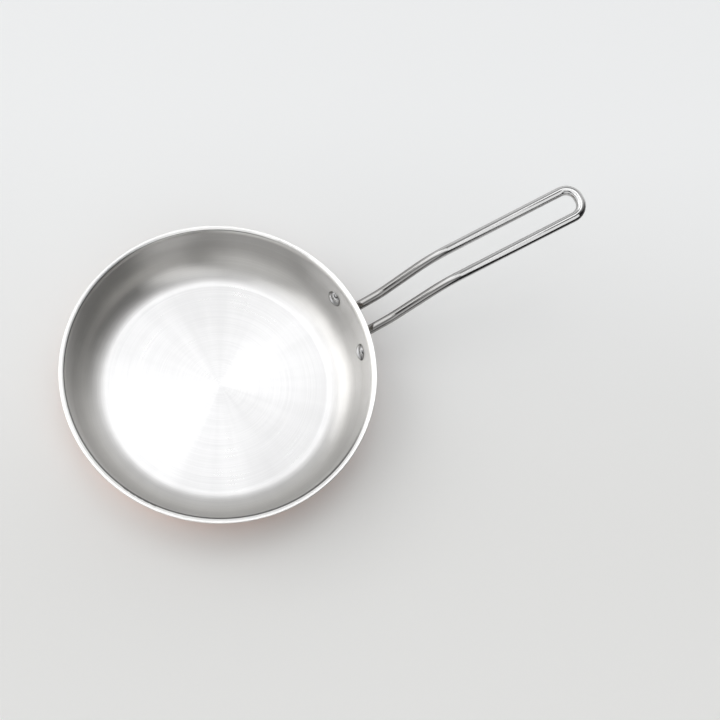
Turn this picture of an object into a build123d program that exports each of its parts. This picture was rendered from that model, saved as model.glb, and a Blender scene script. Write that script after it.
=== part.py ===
from build123d import *
import os
from math import cos, pi, radians, sin, sqrt, tan

# Omelette pan, in millimetres and degrees.
# The origin is the centre of the base, where the pan stands; +Z is up and the handle runs out along +X.

# Pan: one steel sheet, drawn into a round bowl with a turned-out lip
rim_diameter = 220.0
inner_depth = 40.0
sheet = 1.0
corner_radius = 24.0  # inside curve between the floor and the wall
wall_flare = 7.4  # lean of the wall from upright
lip_radius = 4.0  # inside of the curve that turns the lip out
lip_lean = 80.0  # lean of the lip's last stretch from upright
lip_flat = 1.0  # straight stretch after the lip's curve

# Copper: a skin bonded under the floor and round the lower wall
copper_skin = 0.5
copper_height = 17.0
copper_edge_share = 0.6  # rounding of the skin's top edge, of its thickness

# Handle: one length of round wire bent into a long loop
wire_diameter = 7.0
root_spacing = 20.4  # between the two wires at the pan
grip_spacing = 21.4  # between the two wires in the grip
root_rise = 29.0  # slope of each leg from level
steep_rise = 43.5
grip_rise = 21.0
root_run = 24.7  # length of each leg between its corners
steep_run = 49.0
grip_run = 112.5
root_bend = 45.0  # radius of each bend, on the wire's centre line
grip_bend = 65.0
tip_bend = 9.4

# Lugs: the wire's two ends, turned outwards along the wall and flattened
lug_width = 13.0
lug_thickness = 2.6
lug_edge_round = 0.6
neck_start_share = 0.67  # where the flattening starts and ends, of the way back from the rivet to the bend
neck_end_share = 0.33
neck_width_share = 0.72  # width where the flattening ends, of the lug's
neck_height_share = 0.9  # its height there, of the lug's thickness
lug_foot_share = 0.8  # width of the lug's narrow end under the wire, of the wire's
splay_bend_share = 0.97  # radius of the bend into the lug, of the largest that fits

# Rivets: one through each lug, head inside the pan
rivet_spacing = 46.4  # between the two, on the wall's outer face
rivet_drop = 16.1  # below the top of the lip
shank_diameter = 3.8
head_diameter = 12.5
head_height = 3.3
head_edge = 0.5
tail_diameter = 7.0
tail_height = 1.6
tail_edge = 0.3

# Clearances
shank_clearance = 0.05  # all round each shank
seat_gap = 0.05  # between curved faces that sit on each other

# Heights and radii that follow
half_turn = 180
right_angle = 90
rim_radius = rim_diameter / 2
wire_radius = wire_diameter / 2
edge_radius = sheet / 2
flare = radians(wall_flare)
lean = radians(lip_lean)
floor_top = copper_skin + sheet
lip_top = floor_top + inner_depth

lip_rise = lip_radius * (sin(lean) - sin(flare)) + lip_flat * cos(lean)
lip_reach = lip_radius * (cos(flare) - cos(lean)) + lip_flat * sin(lean) + edge_radius * (1 + cos(lean))
wall_rise = inner_depth - lip_rise - corner_radius * (1 - sin(flare))
wall_length = wall_rise / cos(flare)
wall_foot_radius = rim_radius - lip_reach - wall_rise * tan(flare)
wall_foot_height = floor_top + corner_radius * (1 - sin(flare))
floor_radius = wall_foot_radius - corner_radius * cos(flare)

rivet_height = lip_top - rivet_drop
seat_radius = wall_foot_radius + (rivet_height - wall_foot_height) * tan(flare) + sheet / cos(flare)
rivet_sine = rivet_spacing / 2 / seat_radius
rivet_cosine = sqrt(1 - rivet_sine**2)

# The rivet on the +Y side: its seat on the wall's outer face, the way out of the wall and the way along it
rivet_seat = Vector(seat_radius * rivet_cosine, seat_radius * rivet_sine, rivet_height)
rivet_out = Vector(rivet_cosine * cos(flare), rivet_sine * cos(flare), -sin(flare))
rivet_along = Vector(-rivet_sine, rivet_cosine, 0)
rivet_plane = Plane(origin=rivet_seat, x_dir=rivet_along, z_dir=rivet_out)
rivet_axis = Axis(rivet_seat, rivet_out)
rivet_section = Plane(origin=rivet_seat, x_dir=rivet_along, z_dir=rivet_along.cross(rivet_out))


def wall_outside(growth):
    """Draw the bowl's outer line, moved outwards by growth, from the base's centre up to the lip."""
    base = Line((0, copper_skin - growth), (floor_radius, copper_skin - growth))
    corner = JernArc(base @ 1, base % 1, corner_radius + sheet + growth, right_angle - wall_flare)
    wall = PolarLine(corner @ 1, wall_length, direction=corner % 1)
    return wall


def wall_inside(growth):
    """Draw the bowl's inner line, moved inwards by growth, from the floor's centre up to the lip."""
    base = Line((0, floor_top + growth), (floor_radius, floor_top + growth))
    corner = JernArc(base @ 1, base % 1, corner_radius - growth, right_angle - wall_flare)
    wall = PolarLine(corner @ 1, wall_length, direction=corner % 1)
    return wall


# Solid blanks of the bowl's space, which cut the pieces that seat on it
with BuildPart() as bowl_outside:
    with BuildSketch(Plane.XZ):
        with BuildLine():
            top = wall_outside(seat_gap) @ 1
            Polyline(top, (0, top.Y), (0, copper_skin - seat_gap))
        make_face()
    revolve(axis=Axis.Z)

with BuildPart() as bowl_inside:
    with BuildSketch(Plane.XZ):
        with BuildLine():
            top = wall_inside(seat_gap) @ 1
            Polyline(top, (0, top.Y), (0, floor_top + seat_gap))
        make_face()
    revolve(axis=Axis.Z)

with BuildPart() as copper_outside:
    with BuildSketch(Plane.XZ):
        with BuildLine():
            top = wall_outside(copper_skin + seat_gap) @ 1
            Polyline(top, (0, top.Y), (0, -seat_gap))
        make_face()
    revolve(axis=Axis.Z)
    split(bisect_by=Plane.XY.offset(copper_height + seat_gap), keep=Keep.BOTTOM)


# Pan body
with BuildPart() as pan_body:
    with BuildSketch(Plane.XZ):
        with BuildLine():
            inner_wall = wall_inside(0)
            inner_lip = JernArc(inner_wall @ 1, inner_wall % 1, lip_radius, wall_flare - lip_lean)
            inner_flat = PolarLine(inner_lip @ 1, lip_flat, direction=inner_lip % 1)
            JernArc(inner_flat @ 1, inner_flat % 1, edge_radius, -half_turn)
            outer_wall = wall_outside(0)
            outer_lip = JernArc(outer_wall @ 1, outer_wall % 1, lip_radius - sheet, wall_flare - lip_lean)
            PolarLine(outer_lip @ 1, lip_flat, direction=outer_lip % 1)
            Line((0, copper_skin), (0, floor_top))
        make_face()
    revolve(axis=Axis.Z)
    with BuildSketch(rivet_plane):
        Circle(shank_diameter / 2 + shank_clearance)
    rivet_hole = extrude(amount=sheet * 2, both=True, mode=Mode.SUBTRACT)
    mirror(rivet_hole, about=Plane.XZ, mode=Mode.SUBTRACT)

pan_body.part.label = "pan_body"


# Copper skin
with BuildPart() as copper_bottom:
    with BuildSketch(Plane.XZ):
        with BuildLine():
            inner_top = wall_outside(0) @ 1
            outer_top = wall_outside(copper_skin) @ 1
            Line(inner_top, outer_top)
            Line((0, 0), (0, copper_skin))
        make_face()
    revolve(axis=Axis.Z)
    split(bisect_by=Plane.XY.offset(copper_height), keep=Keep.BOTTOM)
    top_edges = copper_bottom.edges().filter_by(GeomType.CIRCLE).group_by(Axis.Z)[-1]
    fillet(top_edges.sort_by(SortBy.RADIUS)[-1], radius=copper_skin * copper_edge_share)

copper_bottom.part.label = "copper_bottom"


# Handle: where the wire's corners are
splay_way = (rivet_seat.Y - root_spacing / 2) / rivet_along.Y
wire_over_seat = rivet_seat + rivet_out * wire_radius
splay_corner = wire_over_seat - rivet_along * (wire_over_seat.Y - root_spacing / 2) / rivet_along.Y
wire_end = wire_over_seat - rivet_along * splay_way * neck_start_share
root_corner = splay_corner + Vector(cos(radians(root_rise)), 0, sin(radians(root_rise))) * root_run
grip_shift = (grip_spacing - root_spacing) / 2
steep_leg = Vector(cos(radians(steep_rise)), 0, sin(radians(steep_rise))) * steep_run
grip_corner = root_corner + steep_leg + Vector(0, grip_shift, 0)
tip_corner = grip_corner + Vector(cos(radians(grip_rise)), 0, sin(radians(grip_rise))) * grip_run

half_corners = [wire_end, splay_corner, root_corner, grip_corner, tip_corner]
wire_corners = half_corners + [Vector(p.X, -p.Y, p.Z) for p in reversed(half_corners)]
splay_turn = (splay_corner - wire_end).get_angle(root_corner - splay_corner)
splay_bend = splay_bend_share * (splay_corner - wire_end).length / tan(radians(splay_turn / 2))
half_bends = [splay_bend, root_bend, grip_bend, tip_bend]

# Lug on the +Y side: a flat plate shaped to the wall, and a neck that swells from it into the round wire
neck_start = splay_way * neck_start_share
neck_end = splay_way * neck_end_share
neck_width = lug_width * neck_width_share
neck_height = lug_thickness * neck_height_share
neck_steps = 3

with BuildPart() as lug:
    with BuildSketch(rivet_plane.offset(-sheet)):
        Circle(lug_width / 2)
        with Locations((-neck_start, 0)):
            Circle(wire_radius * lug_foot_share)
        make_hull()
    extrude(amount=sheet + lug_thickness)
    fillet(lug.faces().sort_by(rivet_axis)[-1].edges(), radius=lug_edge_round)
    for step in range(neck_steps + 1):
        flattening = (1 - cos(pi * step / neck_steps)) / 2
        way = neck_start + (neck_end - neck_start) * step / neck_steps
        width = wire_diameter + (neck_width - wire_diameter) * flattening
        height = wire_diameter + (neck_height - wire_diameter) * flattening
        centre = rivet_seat - rivet_along * way + rivet_out * height / 2
        with BuildSketch(Plane(origin=centre, x_dir=rivet_plane.y_dir, z_dir=rivet_along)):
            Ellipse(width / 2, height / 2)
    loft()
    add(bowl_outside.part, mode=Mode.SUBTRACT)
    add(copper_outside.part, mode=Mode.SUBTRACT)
    with BuildSketch(rivet_plane):
        Circle(shank_diameter / 2 + shank_clearance)
    extrude(amount=lug_thickness + sheet, both=True, mode=Mode.SUBTRACT)


# Handle: the bent wire with a lug at each end
with BuildPart() as handle:
    with BuildLine():
        wire_line = FilletPolyline(*wire_corners, radius=half_bends + half_bends[::-1])
    with BuildSketch(Plane(origin=wire_line @ 0, z_dir=wire_line % 0)):
        Circle(wire_radius)
    sweep(path=wire_line)
    add(lug.part)
    mirror(lug.part, about=Plane.XZ)

handle.part.label = "handle"


# Rivets
head_radius = head_diameter / 2
tail_radius = tail_diameter / 2
with BuildPart() as rivet_head:
    with BuildSketch(rivet_section):
        with BuildLine():
            crown = (0, -sheet - head_height)
            brim = (head_radius, -sheet - head_edge)
            TangentArc(crown, brim, tangent=(1, 0))
            Polyline(brim, (head_radius, 0), (0, 0), crown)
        make_face()
    revolve(axis=rivet_axis)
    add(bowl_inside.part, mode=Mode.INTERSECT)

with BuildPart() as rivets:
    with BuildSketch(rivet_section):
        with Locations((shank_diameter / 4, (lug_thickness - sheet - head_edge) / 2)):
            Rectangle(shank_diameter / 2, lug_thickness + sheet + head_edge)
        with BuildLine():
            crown = (0, lug_thickness + tail_height)
            brim = (tail_radius, lug_thickness + tail_edge)
            TangentArc(crown, brim, tangent=(1, 0))
            Polyline(brim, (tail_radius, lug_thickness), (0, lug_thickness), crown)
        make_face()
    revolve(axis=rivet_axis)
    add(rivet_head.part)
    mirror(about=Plane.XZ)

rivets.part.label = "rivets"

os.makedirs("parts", exist_ok=True)
export_step(pan_body.part, "parts/pan_body.step")
export_step(copper_bottom.part, "parts/copper_bottom.step")
export_step(handle.part, "parts/handle.step")
export_step(rivets.part, "parts/rivets.step")
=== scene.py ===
import math

import bpy
from mathutils import Matrix, Vector

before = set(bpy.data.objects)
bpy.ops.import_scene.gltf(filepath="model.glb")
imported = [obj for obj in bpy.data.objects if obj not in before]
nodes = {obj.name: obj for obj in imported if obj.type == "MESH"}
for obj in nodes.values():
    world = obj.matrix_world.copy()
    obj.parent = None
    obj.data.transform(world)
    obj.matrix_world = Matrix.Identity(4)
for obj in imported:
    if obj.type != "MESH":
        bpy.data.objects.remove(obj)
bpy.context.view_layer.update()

print("pan: frame loaded with", len(nodes), "nodes")


def bothWays(operation):
    # one operator with the value first, and its reflected form, as in 1 - mask
    def plain(self, other):
        return self.math(operation, other)

    def reflected(self, other):
        return self.finish.node("ShaderNodeMath", {"operation": operation}, {0: other, 1: self})

    return plain, reflected


class Value:
    # wraps an output socket, so that an expression on it adds the Math nodes it needs
    __add__, __radd__ = bothWays("ADD")
    __sub__, __rsub__ = bothWays("SUBTRACT")
    __mul__, __rmul__ = bothWays("MULTIPLY")
    __truediv__, __rtruediv__ = bothWays("DIVIDE")
    __pow__, __rpow__ = bothWays("POWER")

    def __init__(self, finish, socket):
        self.finish = finish
        self.socket = socket

    def math(self, operation, *others):
        inputs = dict(enumerate((self, *others)))
        return self.finish.node("ShaderNodeMath", {"operation": operation}, inputs)

    def step(self, start, end):
        # 0 before start, 1 after end, eased between them
        ease = {"interpolation_type": "SMOOTHSTEP"}
        sockets = {"Value": self, "From Min": start, "From Max": end}
        return self.finish.node("ShaderNodeMapRange", ease, sockets)

    def swing(self, width):
        # noise, which lies round 0.5, as a swing to both sides of 0
        return (self - 0.5) * width


class Finish:
    # builds one node tree, for a material or for the world
    def __init__(self, tree):
        self.tree = tree
        tree.nodes.clear()

    def node(self, kind, settings=None, sockets=None, output=0):
        made = self.tree.nodes.new(kind)
        for name, setting in (settings or {}).items():
            setattr(made, name, setting)
        for key, value in (sockets or {}).items():
            if isinstance(value, Value):
                self.tree.links.new(value.socket, made.inputs[key])
            else:
                made.inputs[key].default_value = value
        return Value(self, made.outputs[output]) if len(made.outputs) else None

    def parts(self, vector):
        split = self.node("ShaderNodeSeparateXYZ", None, {0: vector}).socket.node
        return [Value(self, out) for out in split.outputs]

    def joined(self, x, y, z):
        return self.node("ShaderNodeCombineXYZ", None, {0: x, 1: y, 2: z})

    def noise(self, vector, scale, detail, roughness=0.5):
        sockets = {"Vector": vector, "Scale": scale, "Detail": detail, "Roughness": roughness}
        return self.node("ShaderNodeTexNoise", None, sockets)

    def between(self, share, first, second):
        # 6 and 7 are the Mix node's two colours, and output 2 is the colour it gives
        sockets = {0: share, 6: first, 7: second}
        return self.node("ShaderNodeMix", {"data_type": "RGBA"}, sockets, output=2)

    def bump(self, height, strength, distance):
        sockets = {"Height": height, "Strength": strength, "Distance": distance}
        return self.node("ShaderNodeBump", None, sockets)


def rgba(color):
    return (*color, 1.0)


def fromAxis(x, y):
    return (x * x + y * y) ** 0.5


def freshCoat(name):
    # a new material, its Finish, the place that it colours, and that place's x, y and z
    material = bpy.data.materials.new(name)
    material.use_nodes = True
    finish = Finish(material.node_tree)
    where = finish.node("ShaderNodeTexCoord", output="Object")
    return material, finish, where, *finish.parts(where)


def turned(x, y, z):
    # the way from the pan's axis in x and in y, how far out and up together, and how far out
    radius = fromAxis(x, y)
    divisor = radius.math("MAXIMUM", 0.001)  # never 0
    return x / divisor, y / divisor, radius + z, radius


def rings(finish, across, around, along, look):
    # noise in rings round the axis, where drift is how much a ring changes as it goes round
    place = finish.joined(along, across * look["drift"], around * look["drift"])
    return finish.noise(place, look["scale"], look["detail"])


def closeMetal(finish, look, color, roughness, normal):
    # grainPull draws highlights out, and grainTurn is the way they are drawn, in turns
    sockets = {
        "Base Color": color,
        "Roughness": roughness,
        "Normal": normal,
        "Metallic": 1.0,
        "Anisotropic": look["grainPull"],
        "Anisotropic Rotation": look["grainTurn"],
    }
    surface = finish.node("ShaderNodeBsdfPrincipled", None, sockets)
    finish.node("ShaderNodeOutputMaterial", None, {"Surface": surface})


def wear(material, node):
    mesh = nodes[node].data
    mesh.materials.clear()
    mesh.materials.append(material)
    mesh.polygons.foreach_set("use_smooth", [True] * len(mesh.polygons))
    print("pan:", material.name, "on", node)


# bowl: circular satin brushing inside, polished lip, and a painted dark reflection just under the
# lip
bowl = {
    "steel": (0.71, 0.71, 0.715),
    "darker": (0.66, 0.66, 0.665),
    "wallSteel": (0.72, 0.71, 0.69),
    "wallDarker": (0.675, 0.665, 0.645),
    "lipSteel": (0.96, 0.96, 0.95),
    "paintedLipReflection": (0.10, 0.10, 0.10),  # painted dark reflection in a line where the brushing stops and the polished lip starts
    "satin": 0.29,  # roughness of the floor, of the wall and of the lip
    "wallSatin": 0.35,
    "polish": 0.34,
    "fineSwing": 0.05,  # how much each pattern changes the roughness
    "wideSwing": 0.025,
    "hazeSwing": 0.05,
    "cornerFrom": 0.078,  # metres from the middle, where the floor turns into the wall
    "cornerTo": 0.096,
    "lipFrom": 0.0405,  # metres above the table, where the polish starts
    "lipTo": 0.0410,
    "lineFrom": 0.0395,  # metres above the table, where the dark line starts
    "lineLean": 0.0009,  # how much lower it starts on the -Y side, and higher on the +Y side
    "lineStrength": 0.95,
    "lineFull": 0.45,  # cosines of the angle from the handle, between which the line fades
    "lineGone": 0.85,
    "fineRing": {"scale": 2600.0, "detail": 1.5, "drift": 0.0004},
    "wideRing": {"scale": 1100.0, "detail": 2.0, "drift": 0.0007},
    "haze": {"scale": 28.0, "detail": 3.0},
    "wedge": {"scale": 5.0, "detail": 3.0},
    "wedgeTwist": 2.0,  # how much the wedges change from the middle to the lip
    "ringShade": 0.3,  # share of each ring pattern, and of the wedges, in the steel's shade
    "wedgeShade": 0.4,
    "shadeFrom": 0.38,
    "shadeTo": 0.62,
    "fineHeight": 0.8,  # share of each ring pattern in the bump
    "wideHeight": 0.2,
    "ringStrength": 0.16,
    "ringDepth": 0.00002,  # metres
    "grainPull": 0.8,
    "grainTurn": 0.25,
}


def bowlSteel():
    material, finish, where, x, y, z = freshCoat("bowlSteel")
    across, around, along, radius = turned(x, y, z)
    fineRing = rings(finish, across, around, along, bowl["fineRing"])
    wideRing = rings(finish, across, around, along, bowl["wideRing"])
    wedge = finish.noise(finish.joined(across, around, along * bowl["wedgeTwist"]), **bowl["wedge"])
    haze = finish.noise(where, **bowl["haze"])
    lip = z.step(bowl["lipFrom"], bowl["lipTo"])
    wall = radius.step(bowl["cornerFrom"], bowl["cornerTo"])
    satin = wall * (bowl["wallSatin"] - bowl["satin"]) + bowl["satin"]
    satin = fineRing.swing(bowl["fineSwing"]) + wideRing.swing(bowl["wideSwing"]) + satin
    satin = satin + haze.swing(bowl["hazeSwing"])
    polish = haze.swing(bowl["hazeSwing"]) + bowl["polish"]
    roughness = satin * (1 - lip) + polish * lip
    shade = (wideRing + fineRing) * bowl["ringShade"] + wedge * bowl["wedgeShade"]
    shade = shade.step(bowl["shadeFrom"], bowl["shadeTo"])
    # painted dark reflection: a dark line under the lip, lower on the -Y side, fading toward the
    # handle
    lineStart = around * bowl["lineLean"] + bowl["lineFrom"]
    line = z.step(lineStart, bowl["lipFrom"]) * (1 - lip)
    line = line * (1 - across.step(bowl["lineFull"], bowl["lineGone"])) * bowl["lineStrength"]
    brighter = finish.between(wall, rgba(bowl["steel"]), rgba(bowl["wallSteel"]))
    darker = finish.between(wall, rgba(bowl["darker"]), rgba(bowl["wallDarker"]))
    color = finish.between(shade, brighter, darker)
    color = finish.between(line, color, rgba(bowl["paintedLipReflection"]))
    color = finish.between(lip, color, rgba(bowl["lipSteel"]))
    height = (fineRing * bowl["fineHeight"] + wideRing * bowl["wideHeight"]) * (1 - lip)
    normal = finish.bump(height, bowl["ringStrength"], bowl["ringDepth"])
    closeMetal(finish, bowl, color, roughness, normal)
    return material


# copper: the skin under the floor and round the lower wall
skin = {
    "copper": (0.93, 0.43, 0.23),
    "tarnish": (0.80, 0.33, 0.17),
    "satin": 0.20,
    "ringSwing": 0.10,  # how much each pattern changes the roughness
    "stainSwing": 0.16,
    "ring": {"scale": 2200.0, "detail": 3.0, "drift": 0.001},
    "stain": {"scale": 34.0, "detail": 4.0, "roughness": 0.6},
    "stainFrom": 0.42,
    "stainTo": 0.72,
    "stainStrength": 0.6,
    "ringStrength": 0.25,
    "ringDepth": 0.00002,  # metres
    "grainPull": 0.6,
    "grainTurn": 0.25,
}


def baseCopper():
    material, finish, where, x, y, z = freshCoat("baseCopper")
    ring = rings(finish, *turned(x, y, z)[:3], skin["ring"])
    stain = finish.noise(where, **skin["stain"])
    roughness = ring.swing(skin["ringSwing"]) + stain.swing(skin["stainSwing"]) + skin["satin"]
    tarnished = stain.step(skin["stainFrom"], skin["stainTo"]) * skin["stainStrength"]
    color = finish.between(tarnished, rgba(skin["copper"]), rgba(skin["tarnish"]))
    normal = finish.bump(ring, skin["ringStrength"], skin["ringDepth"])
    closeMetal(finish, skin, color, roughness, normal)
    return material


# handle: mirror-polished wire with fine polishing marks along it
wire = {
    "steel": (0.60, 0.60, 0.60),
    "duller": (0.56, 0.56, 0.56),
    "paintedRootReflection": (0.34, 0.335, 0.33),  # painted dark reflection on the wire toward the pan
    "paintedRootTo": 0.152,  # metres from the middle of the pan
    "paintedRootGone": 0.186,
    "paintedRootWander": 0.02,  # metres by which the edge of the painted dark reflection comes and goes
    "polish": 0.09,
    "markSwing": 0.07,  # how much each pattern changes the roughness
    "hazeSwing": 0.06,
    "markLength": 40.0,
    "markWidth": 450.0,
    "markDetail": 3.0,
    "markRise": 0.5,  # how steeply the marks climb with the handle
    "haze": {"scale": 45.0, "detail": 3.0},
    "hazeFrom": 0.45,
    "hazeTo": 0.75,
    "markStrength": 0.06,
    "markDepth": 0.000012,  # metres
    "grainPull": 0.0,
    "grainTurn": 0.0,
}


def wireSteel():
    material, finish, where, x, y, z = freshCoat("wireSteel")
    aside = (z - x * wire["markRise"]) * wire["markWidth"]
    streaks = finish.joined(x * wire["markLength"], y * wire["markWidth"], aside)
    marks = finish.noise(streaks, 1.0, wire["markDetail"])
    haze = finish.noise(where, **wire["haze"])
    roughness = marks.swing(wire["markSwing"]) + haze.swing(wire["hazeSwing"]) + wire["polish"]
    dull = haze.step(wire["hazeFrom"], wire["hazeTo"])
    color = finish.between(dull, rgba(wire["steel"]), rgba(wire["duller"]))
    # painted dark reflection on the wire toward the pan, fading out between the two distances
    clear = (x + haze.swing(wire["paintedRootWander"])).step(wire["paintedRootTo"], wire["paintedRootGone"])
    color = finish.between(clear, rgba(wire["paintedRootReflection"]), color)
    normal = finish.bump(marks, wire["markStrength"], wire["markDepth"])
    closeMetal(finish, wire, color, roughness, normal)
    return material


# rivets: polished domes with fine marks and painted shade round the edge of each head
studs = {
    "steel": (0.64, 0.64, 0.64),
    "duller": (0.56, 0.56, 0.56),
    "seat": (0.20, 0.20, 0.20),  # painted shade round the edge of each head, where it meets the pan
    "side": 0.0229,  # metres from the mirror plane to a rivet's middle
    "height": 0.0256,  # metres from the table to a rivet's middle
    "seatFrom": 0.0044,  # metres from the rivet's middle
    "seatTo": 0.0062,
    "seatStrength": 0.8,
    "polish": 0.12,
    "hazeSwing": 0.10,  # how much the haze changes the roughness
    "haze": {"scale": 160.0, "detail": 4.0},
    "hazeFrom": 0.5,
    "hazeTo": 0.8,
    "mark": {"scale": 900.0, "detail": 2.0},
    "markStrength": 0.12,
    "markDepth": 0.00002,  # metres
    "grainPull": 0.0,
    "grainTurn": 0.0,
}


def studSteel():
    material, finish, where, _, y, z = freshCoat("studSteel")
    haze = finish.noise(where, **studs["haze"])
    marks = finish.noise(where, **studs["mark"])
    roughness = haze.swing(studs["hazeSwing"]) + studs["polish"]
    dull = haze.step(studs["hazeFrom"], studs["hazeTo"])
    color = finish.between(dull, rgba(studs["steel"]), rgba(studs["duller"]))
    # painted shade in a ring round the edge of each head
    fromMiddle = fromAxis(y.math("ABSOLUTE") - studs["side"], z - studs["height"])
    seat = fromMiddle.step(studs["seatFrom"], studs["seatTo"]) * studs["seatStrength"]
    color = finish.between(seat, color, rgba(studs["seat"]))
    normal = finish.bump(marks, studs["markStrength"], studs["markDepth"])
    closeMetal(finish, studs, color, roughness, normal)
    return material


wear(bowlSteel(), "pan_body")
wear(baseCopper(), "copper_bottom")
wear(wireSteel(), "handle")
wear(studSteel(), "rivets")


# table: a large pale sheet under the pan. The camera sees painted light that makes it a little paler
# on one side, and only reflections and bounced light see that it turns dark further out on the other
table = {
    "reach": 4.0,  # metres from the middle to each edge
    "color": (0.93, 0.93, 0.92),
    "speckle": (0.88, 0.88, 0.87),
    "fleck": {"scale": 400.0, "detail": 2.0},
    "fleckStrength": 0.2,
    "roughness": 0.6,
    "far": (0.06, 0.06, 0.06),
    "farToward": -75,  # degrees
    "farFrom": 0.14,  # metres from the pan's middle
    "farTo": 0.30,
    "white": (0.96, 0.98, 1.0),  # what the camera sees in the painted light and in the backdrop
    "paintedLight": 0.47,  # share of that white in the painted light on the paler side
    "paintedLightToward": 68,  # degrees
    "paintedLightFrom": -0.14,  # metres from the pan's middle
    "paintedLightTo": 0.26,
    "fadeFrom": 0.7,  # metres from the pan's middle, where the sheet turns into the backdrop
    "fadeTo": 2.6,
}


def alongWay(x, y, degrees):
    way = math.radians(degrees)
    return x * math.cos(way) + y * math.sin(way)


def tableCoat():
    material, finish, where, x, y, _ = freshCoat("tableCoat")
    seen = finish.node("ShaderNodeLightPath", output="Is Camera Ray")
    fleck = finish.noise(where, **table["fleck"]) * table["fleckStrength"]
    color = finish.between(fleck, rgba(table["color"]), rgba(table["speckle"]))
    far = alongWay(x, y, table["farToward"]).step(table["farFrom"], table["farTo"])
    color = finish.between(far * (1 - seen), color, rgba(table["far"]))
    # painted light: the camera sees the sheet paler toward one side
    paintedLight = alongWay(x, y, table["paintedLightToward"]).step(table["paintedLightFrom"], table["paintedLightTo"])
    fade = fromAxis(x, y).step(table["fadeFrom"], table["fadeTo"])
    paintedLightAndBackdrop = (paintedLight * table["paintedLight"]).math("MAXIMUM", fade) * seen
    sockets = {"Color": color, "Roughness": table["roughness"]}
    coat = finish.node("ShaderNodeBsdfDiffuse", None, sockets)
    white = finish.node("ShaderNodeEmission", None, {"Color": rgba(table["white"]), "Strength": 1.0})
    surface = finish.node("ShaderNodeMixShader", None, {0: paintedLightAndBackdrop, 1: coat, 2: white})
    finish.node("ShaderNodeOutputMaterial", None, {"Surface": surface})
    return material


def layTable():
    reach = table["reach"]
    corners = [(-reach, -reach, 0), (reach, -reach, 0), (reach, reach, 0), (-reach, reach, 0)]
    mesh = bpy.data.meshes.new("tableTop")
    mesh.from_pydata(corners, [], [(0, 1, 2, 3)])
    top = bpy.data.objects.new("tableTop", mesh)
    bpy.context.scene.collection.objects.link(top)
    mesh.materials.append(tableCoat())
    print("pan: table laid")


# light: six soft boxes, each given by the direction it hangs in, as azimuth and elevation
light = {
    "away": 2.5,  # metres from the pan to each box
    "boxes": [
        {"name": "wideBox", "toward": (180, 56), "size": (1.1, 2.6), "turn": 2, "glow": 1.25},
        {"name": "windowBox", "toward": (138, 41), "size": (1.9, 1.95), "turn": -35, "glow": 1.4},
        {"name": "topBox", "toward": (78, 71), "size": (1.0, 1.0), "turn": -24, "glow": 1.6},
        {"name": "fillBox", "toward": (40, 72), "size": (1.0, 1.0), "turn": 0, "glow": 0.45},
        {"name": "backStrip", "toward": (-82, 50), "size": (1.1, 2.2), "turn": 20, "glow": 1.15},
        {"name": "cornerBox", "toward": (-127, 68), "size": (0.9, 0.9), "turn": 0, "glow": 0.5},
    ],
}


def direction(azimuth, elevation):
    azimuth, elevation = math.radians(azimuth), math.radians(elevation)
    flat = math.cos(elevation)
    return Vector((flat * math.cos(azimuth), flat * math.sin(azimuth), math.sin(elevation)))


def hangBox(box):
    data = bpy.data.lights.new(box["name"], "AREA")
    data.shape = "RECTANGLE"
    data.size, data.size_y = box["size"]
    data.energy = box["glow"] * math.pi * data.size * data.size_y
    lamp = bpy.data.objects.new(box["name"], data)
    toward = direction(*box["toward"])
    turn = Matrix.Rotation(math.radians(box["turn"]), 3, "Z")
    facing = toward.to_track_quat("Z", "Y").to_matrix() @ turn
    lamp.matrix_world = Matrix.Translation(toward * light["away"]) @ facing.to_4x4()
    bpy.context.scene.collection.objects.link(lamp)


# room: bright low down and dark overhead, with brighter and darker parts
room = {
    "walls": 1.18,
    "ceiling": 0.12,
    "darkest": 0.02,
    "backdrop": 0.98,  # what the camera itself sees behind the table
    "tones": [  # direction, change of brightness, and how many degrees it spreads
        {"toward": (-47, 36), "change": -1.26, "spread": 60},
        {"toward": (-20, 57), "change": 1.05, "spread": 40},
        {"toward": (-176, 36), "change": -1.25, "spread": 26},
        {"toward": (-88, 0), "change": -1.1, "spread": 32},
    ],
}


def paintRoom():
    world = bpy.data.worlds.new("room")
    bpy.context.scene.world = world
    world.use_nodes = True
    finish = Finish(world.node_tree)
    way = finish.node("ShaderNodeTexCoord", output="Generated")
    height = finish.parts(way)[2].math("MAXIMUM", 0.0)
    glow = height * (room["ceiling"] - room["walls"]) + room["walls"]
    for tone in room["tones"]:
        dot = {0: way, 1: direction(*tone["toward"])}
        near = finish.node("ShaderNodeVectorMath", {"operation": "DOT_PRODUCT"}, dot, output="Value")
        glow = glow + near.step(math.cos(math.radians(tone["spread"])), 1.0) * tone["change"]
    glow = glow.math("MAXIMUM", room["darkest"])
    seen = finish.node("ShaderNodeLightPath", output="Is Camera Ray")
    strength = glow * (1 - seen) + seen * room["backdrop"]
    sockets = {"Color": (1.0, 1.0, 1.0, 1.0), "Strength": strength}
    sky = finish.node("ShaderNodeBackground", None, sockets)
    finish.node("ShaderNodeOutputWorld", None, {"Surface": sky})


# camera: looks down on the pan across its handle
view = {
    "place": (-0.121191, -0.205745, 0.703216),
    "right": (0.88617, -0.42955, 0.17373),
    "up": (0.35465, 0.87008, 0.34231),
    "back": (-0.29820, -0.24174, 0.92339),
    "lens": 50.0,
    "sensor": 36.0,
}


def setCamera():
    data = bpy.data.cameras.new("shot")
    data.lens = view["lens"]
    data.sensor_width = view["sensor"]
    shot = bpy.data.objects.new("shot", data)
    turn = Matrix([view["right"], view["up"], view["back"]]).transposed()
    shot.matrix_world = Matrix.Translation(Vector(view["place"])) @ turn.to_4x4()
    bpy.context.scene.collection.objects.link(shot)
    bpy.context.scene.camera = shot
    print("pan: camera set")


layTable()
for box in light["boxes"]:
    hangBox(box)
paintRoom()
print("pan: boxes hung and room painted")
setCamera()
bpy.context.scene.view_settings.view_transform = "Standard"
